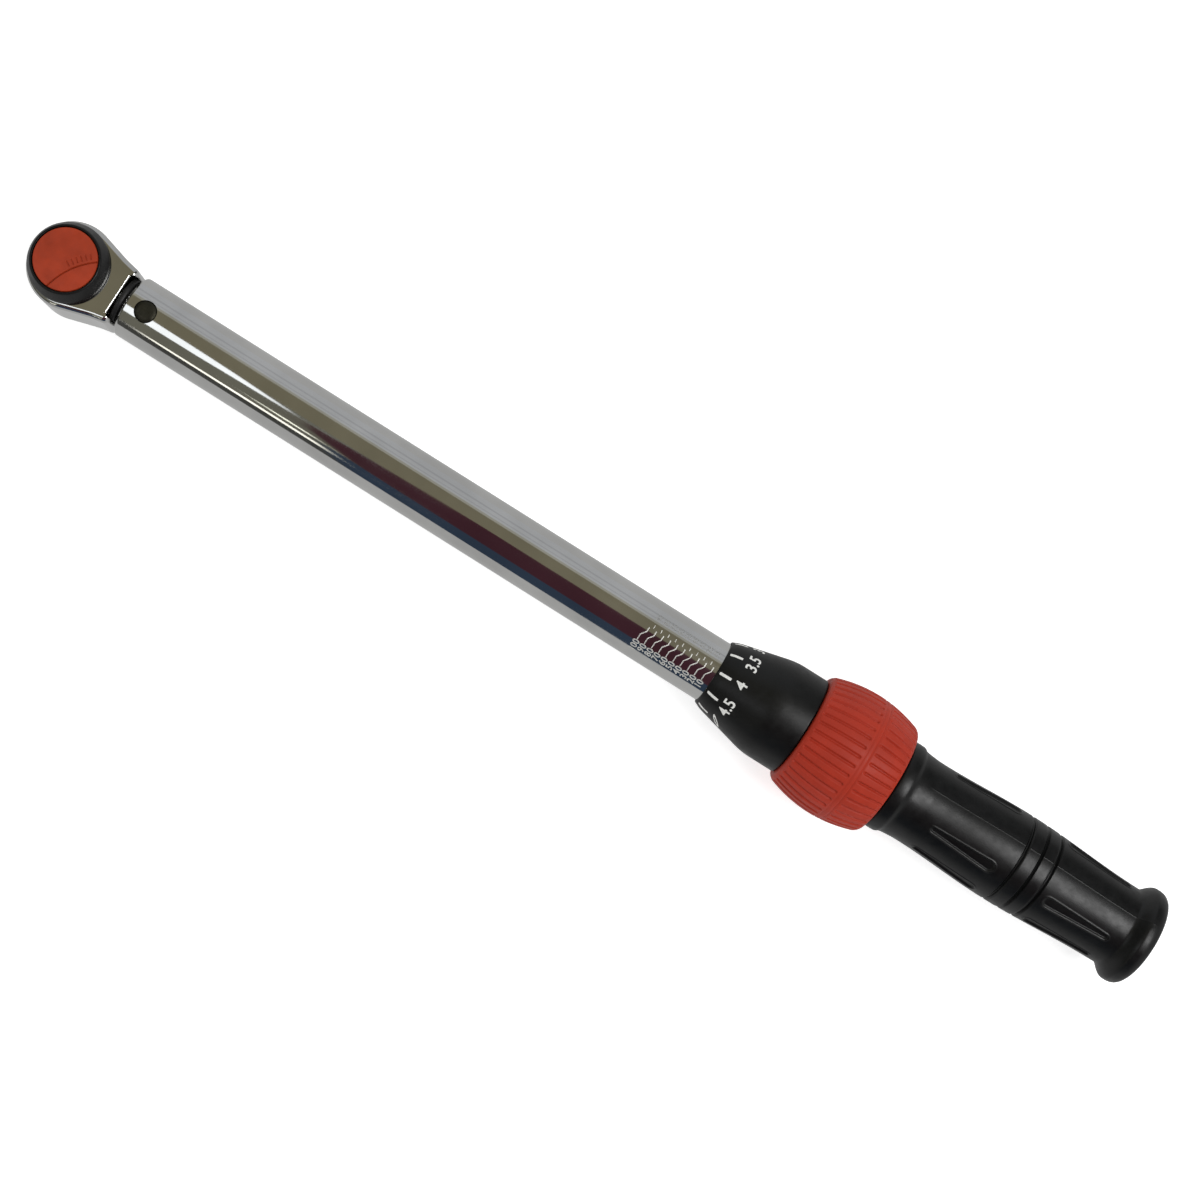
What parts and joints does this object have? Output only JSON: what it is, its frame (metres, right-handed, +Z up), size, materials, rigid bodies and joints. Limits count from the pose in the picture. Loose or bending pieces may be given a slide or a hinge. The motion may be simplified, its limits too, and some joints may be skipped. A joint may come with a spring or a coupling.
{
  "type": "torque wrench",
  "caption": "Click-type torque wrench: a square-drive ratchet head with direction dial, a chromed tube with a scale, a turning grip and a sliding lock collar.",
  "frame": {"origin": "middle of the square drive's end face, on the drive's turning axis", "axes": "+X runs from the drive's axis along the tube to the end of the grip, +Z is up from the square drive through the head to the direction dial"},
  "size_m": [0.408, 0.043, 0.0435],
  "materials": {
    "chrome_tube": "polished chrome plate",
    "scale_etch": "etched into the chrome",
    "mark_white": "printed",
    "chrome_head": "polished chrome plate on a forging",
    "drive_steel": "satin chrome plate",
    "black_steel": "black oxide",
    "inner_steel": "machined and oiled",
    "spring_steel": "drawn wire",
    "brass": "machined",
    "seal_rubber": "moulded rubber",
    "dial_black": "moulded, satin",
    "dial_red": "moulded, satin",
    "thimble_black": "moulded, matte",
    "collar_red": "moulded, matte",
    "grip_black": "moulded, satin",
    "cap_black": "moulded, satin"
  },
  "bodies": {
    "tube": {"tube": "chrome_tube", "pivot_pin": "black_steel", "plunger": "inner_steel", "main_spring": "spring_steel", "adjuster_nut": "brass", "nut_screw_1": "black_steel", "nut_screw_2": "black_steel"},
    "head": {"ratchet_head": "chrome_head", "dust_seal": "seal_rubber", "cover_plate": "inner_steel", "cover_snap_ring": "spring_steel", "pawl_pin": "inner_steel"},
    "drive": {"drive_gear": "drive_steel", "dial_screw": "inner_steel", "socket_ball_spring": "spring_steel"},
    "socket_ball": {"socket_ball": "inner_steel"},
    "dial": {"dial_ring": "dial_black", "dial_cap": "dial_red", "dial_detent_ball": "inner_steel", "dial_detent_spring": "spring_steel"},
    "pawl": {"pawl": "inner_steel"},
    "tilt_block": {"tilt_block": "inner_steel"},
    "thrust": {"spring_seat": "inner_steel", "thrust_ball": "inner_steel"},
    "grip": {"spindle": "inner_steel", "thimble": "thimble_black", "handle_core": "inner_steel", "collar_stop_ring": "spring_steel", "collar_spring": "spring_steel", "grip_shell": "grip_black", "end_cap": "cap_black", "end_washer": "inner_steel", "end_bolt": "inner_steel"},
    "lock_ball_1": {"lock_ball_1": "inner_steel"},
    "lock_ball_2": {"lock_ball_2": "inner_steel"},
    "lock_ball_3": {"lock_ball_3": "inner_steel"},
    "collar": {"lock_collar": "collar_red", "lock_ring": "inner_steel"}
  },
  "joints": [
    {"name": "head_click", "type": "hinge", "parent": "tube", "child": "head", "pos_m": [0.028, 0, 0.022], "axis": [0, 0, 1], "range_deg": [-2.2, 2.2], "stiffness_Nm_per_rad": 20},
    {"name": "tilt_block_tip", "type": "hinge", "parent": "tube", "child": "tilt_block", "pos_m": [0.096, 0, 0.022], "axis": [0, 0, 1], "range_deg": [-14.5, 14.5]},
    {"name": "drive_turn", "type": "hinge", "parent": "head", "child": "drive", "pos_m": [0, 0, 0], "axis": [0, 0, 1], "continuous": true},
    {"name": "socket_ball_press", "type": "slide", "parent": "drive", "child": "socket_ball", "axis": [1, 0, 0], "range_m": [0, 0.0005], "stiffness_N_per_m": 60, "springref_m": -0.0005, "deforming": ["socket_ball_spring"]},
    {"name": "dial_turn", "type": "hinge", "parent": "head", "child": "dial", "pos_m": [0, 0, 0], "axis": [0, 0, 1], "range_deg": [0, 60]},
    {"name": "pawl_rock", "type": "hinge", "parent": "head", "child": "pawl", "pos_m": [0.0119, 0, 0.022], "axis": [0, 0, 1], "range_deg": [-18, 0]},
    {"name": "grip_advance", "type": "slide", "parent": "tube", "child": "thrust", "axis": [-1, 0, 0], "range_m": [-0.00104, 0.02496], "deforming": ["main_spring"]},
    {"name": "grip_turn", "type": "hinge", "parent": "thrust", "child": "grip", "pos_m": [0.2368, 0, 0.022], "axis": [-1, 0, 0], "range_deg": [-288, 6912]},
    {"name": "collar_slide", "type": "slide", "parent": "grip", "child": "collar", "axis": [1, 0, 0], "range_m": [0, 0.005], "stiffness_N_per_m": 300, "springref_m": -0.003, "deforming": ["collar_spring"]},
    {"name": "lock_ball_1_lift", "type": "slide", "parent": "grip", "child": "lock_ball_1", "axis": [0, 0, 1], "range_m": [0, 0.0005]},
    {"name": "lock_ball_2_lift", "type": "slide", "parent": "grip", "child": "lock_ball_2", "axis": [0, -0.866, -0.5], "range_m": [0, 0.0005]},
    {"name": "lock_ball_3_lift", "type": "slide", "parent": "grip", "child": "lock_ball_3", "axis": [0, 0.866, -0.5], "range_m": [0, 0.0005]}
  ],
  "couplings": [
    {"joint": "tilt_block_tip", "follows": "head_click", "ratio": -6.5556},
    {"joint": "pawl_rock", "follows": "dial_turn", "ratio": -0.3},
    {"joint": "grip_advance", "follows": "grip_turn", "m_per_rad": 0.0002069},
    {"joint": "lock_ball_1_lift", "follows": "collar_slide", "ratio": 0.1},
    {"joint": "lock_ball_2_lift", "follows": "collar_slide", "ratio": 0.1},
    {"joint": "lock_ball_3_lift", "follows": "collar_slide", "ratio": 0.1}
  ]
}
